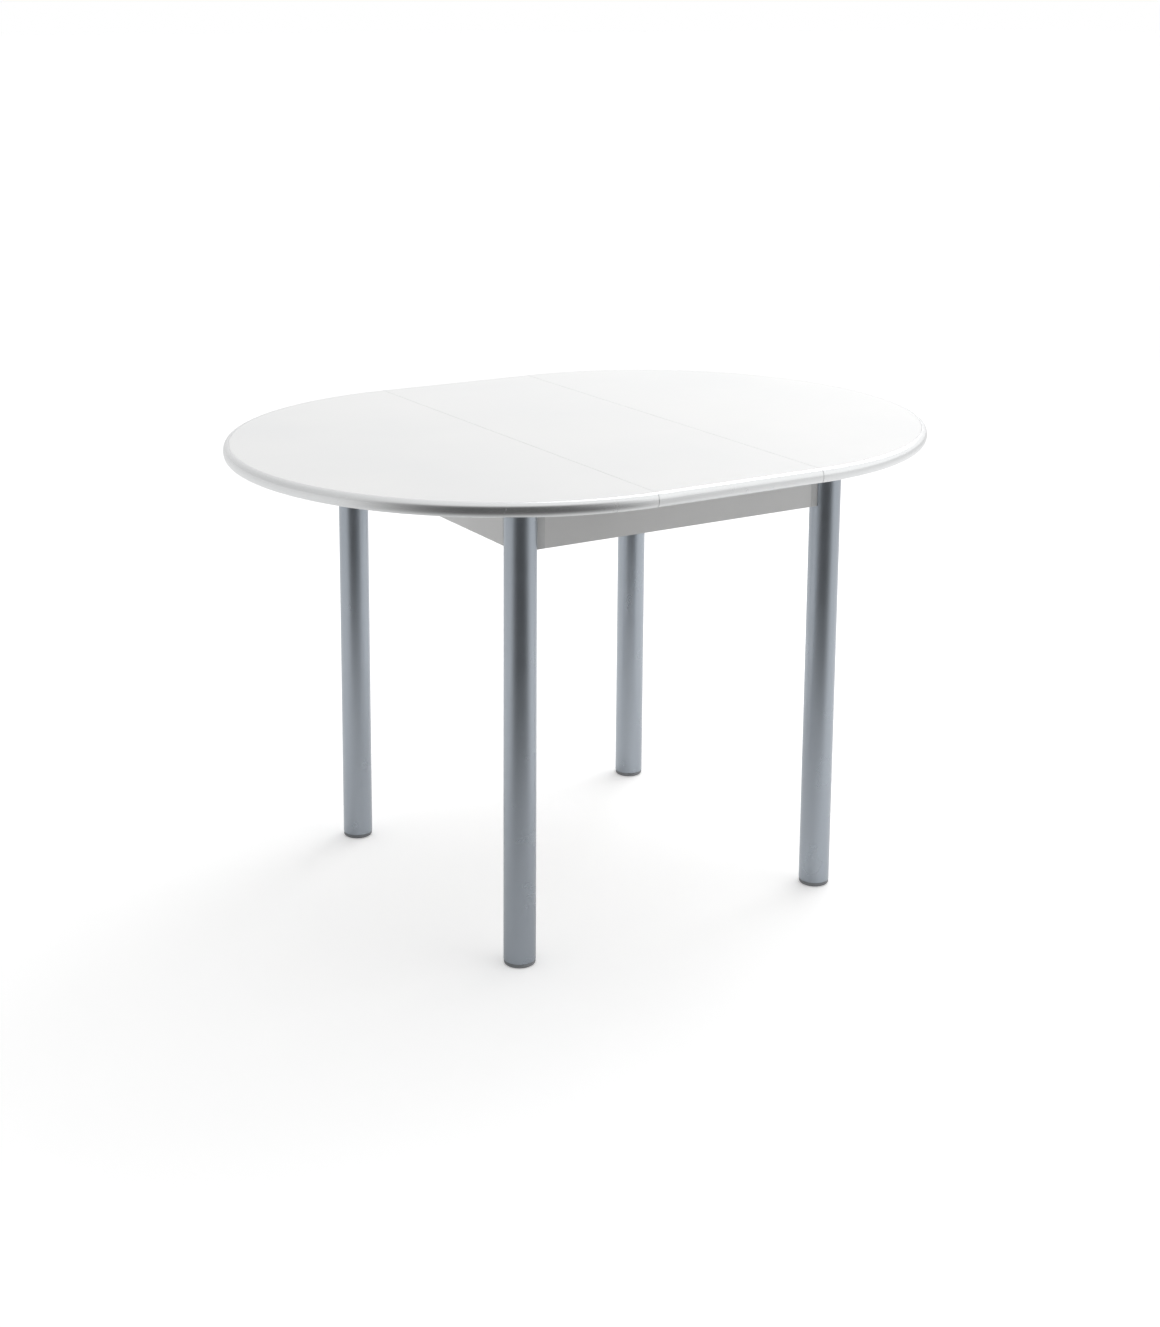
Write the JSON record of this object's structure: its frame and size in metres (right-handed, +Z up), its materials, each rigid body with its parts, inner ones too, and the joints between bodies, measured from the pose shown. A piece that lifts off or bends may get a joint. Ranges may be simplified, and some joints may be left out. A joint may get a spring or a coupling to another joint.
{
  "type": "round extending kitchen table",
  "caption": "Round white kitchen table, extended to an oval by a lift-in centre leaf, with half tops on slide rails and a square apron frame on tube legs.",
  "frame": {"origin": "on the floor, under the middle of the table", "axes": "+X along the extended table, from the left half top to the right one; +Y across it, away from the front; +Z up"},
  "size_m": [1.1998, 0.9, 0.76],
  "materials": {
    "white_top": "satin white laminate on a board",
    "silver_edge": "silver metallic edging, satin gloss",
    "white_apron": "satin white melamine on a board",
    "light_grey_plastic": "fine grained moulded plastic",
    "silver_paint": "silver grey powder coat, satin",
    "grey_plastic": "moulded plastic",
    "black_plastic": "moulded plastic",
    "galvanised_steel": "zinc plated",
    "aluminium_rail": "mill finish extrusion",
    "natural_plastic": "natural nylon",
    "beech": "planed beech, unfinished",
    "zinc_fastener": "bright zinc plated"
  },
  "bodies": {
    "frame": {"apron_back": "white_apron", "apron_front": "white_apron", "apron_left": "white_apron", "apron_right": "white_apron", "apron_screws": "zinc_fastener", "bearer_brackets": "galvanised_steel", "bracket_screws": "zinc_fastener", "corner_connector_back_left": "light_grey_plastic", "corner_connector_back_right": "light_grey_plastic", "corner_connector_front_left": "light_grey_plastic", "corner_connector_front_right": "light_grey_plastic", "cross_bearer_left": "beech", "cross_bearer_right": "beech", "foot_cap_back_left": "grey_plastic", "foot_cap_back_right": "grey_plastic", "foot_cap_front_left": "grey_plastic", "foot_cap_front_right": "grey_plastic", "glide_pads": "natural_plastic", "guide_channel_left_back": "aluminium_rail", "guide_channel_left_front": "aluminium_rail", "guide_channel_right_back": "aluminium_rail", "guide_channel_right_front": "aluminium_rail", "guide_screws": "zinc_fastener", "guide_stops": "black_plastic", "leg_bolts": "zinc_fastener", "leg_nut_bar_back_left": "galvanised_steel", "leg_nut_bar_back_right": "galvanised_steel", "leg_nut_bar_front_left": "galvanised_steel", "leg_nut_bar_front_right": "galvanised_steel", "leg_top_plug_back_left": "black_plastic", "leg_top_plug_back_right": "black_plastic", "leg_top_plug_front_left": "black_plastic", "leg_top_plug_front_right": "black_plastic", "leg_tube_back_left": "silver_paint", "leg_tube_back_right": "silver_paint", "leg_tube_front_left": "silver_paint", "leg_tube_front_right": "silver_paint", "leg_washers": "zinc_fastener"},
    "left_half": {"edge_band_left": "silver_edge", "runner_left_back": "aluminium_rail", "runner_left_front": "aluminium_rail", "runner_screws_left": "zinc_fastener", "seam_plate_screws_left": "zinc_fastener", "seam_plates_left": "galvanised_steel", "stop_pins_left": "zinc_fastener", "top_half_left": "white_top"},
    "right_half": {"edge_band_right": "silver_edge", "runner_right_back": "aluminium_rail", "runner_right_front": "aluminium_rail", "runner_screws_right": "zinc_fastener", "seam_plate_screws_right": "zinc_fastener", "seam_plates_right": "galvanised_steel", "stop_pins_right": "zinc_fastener", "top_half_right": "white_top"},
    "leaf": {"centre_leaf": "white_top", "leaf_cleat_back": "beech", "leaf_cleat_front": "beech", "leaf_cleat_screws": "zinc_fastener", "leaf_edge_bands": "silver_edge"}
  },
  "joints": [
    {"name": "left_half_slide", "type": "slide", "parent": "frame", "child": "left_half", "axis": [-1, 0, 0], "range_m": [0, 0.03]},
    {"name": "right_half_slide", "type": "slide", "parent": "frame", "child": "right_half", "axis": [1, 0, 0], "range_m": [0, 0.03]},
    {"name": "leaf_lift", "type": "slide", "parent": "frame", "child": "leaf", "axis": [0, 0, 1], "range_m": [0, 0.25]}
  ]
}
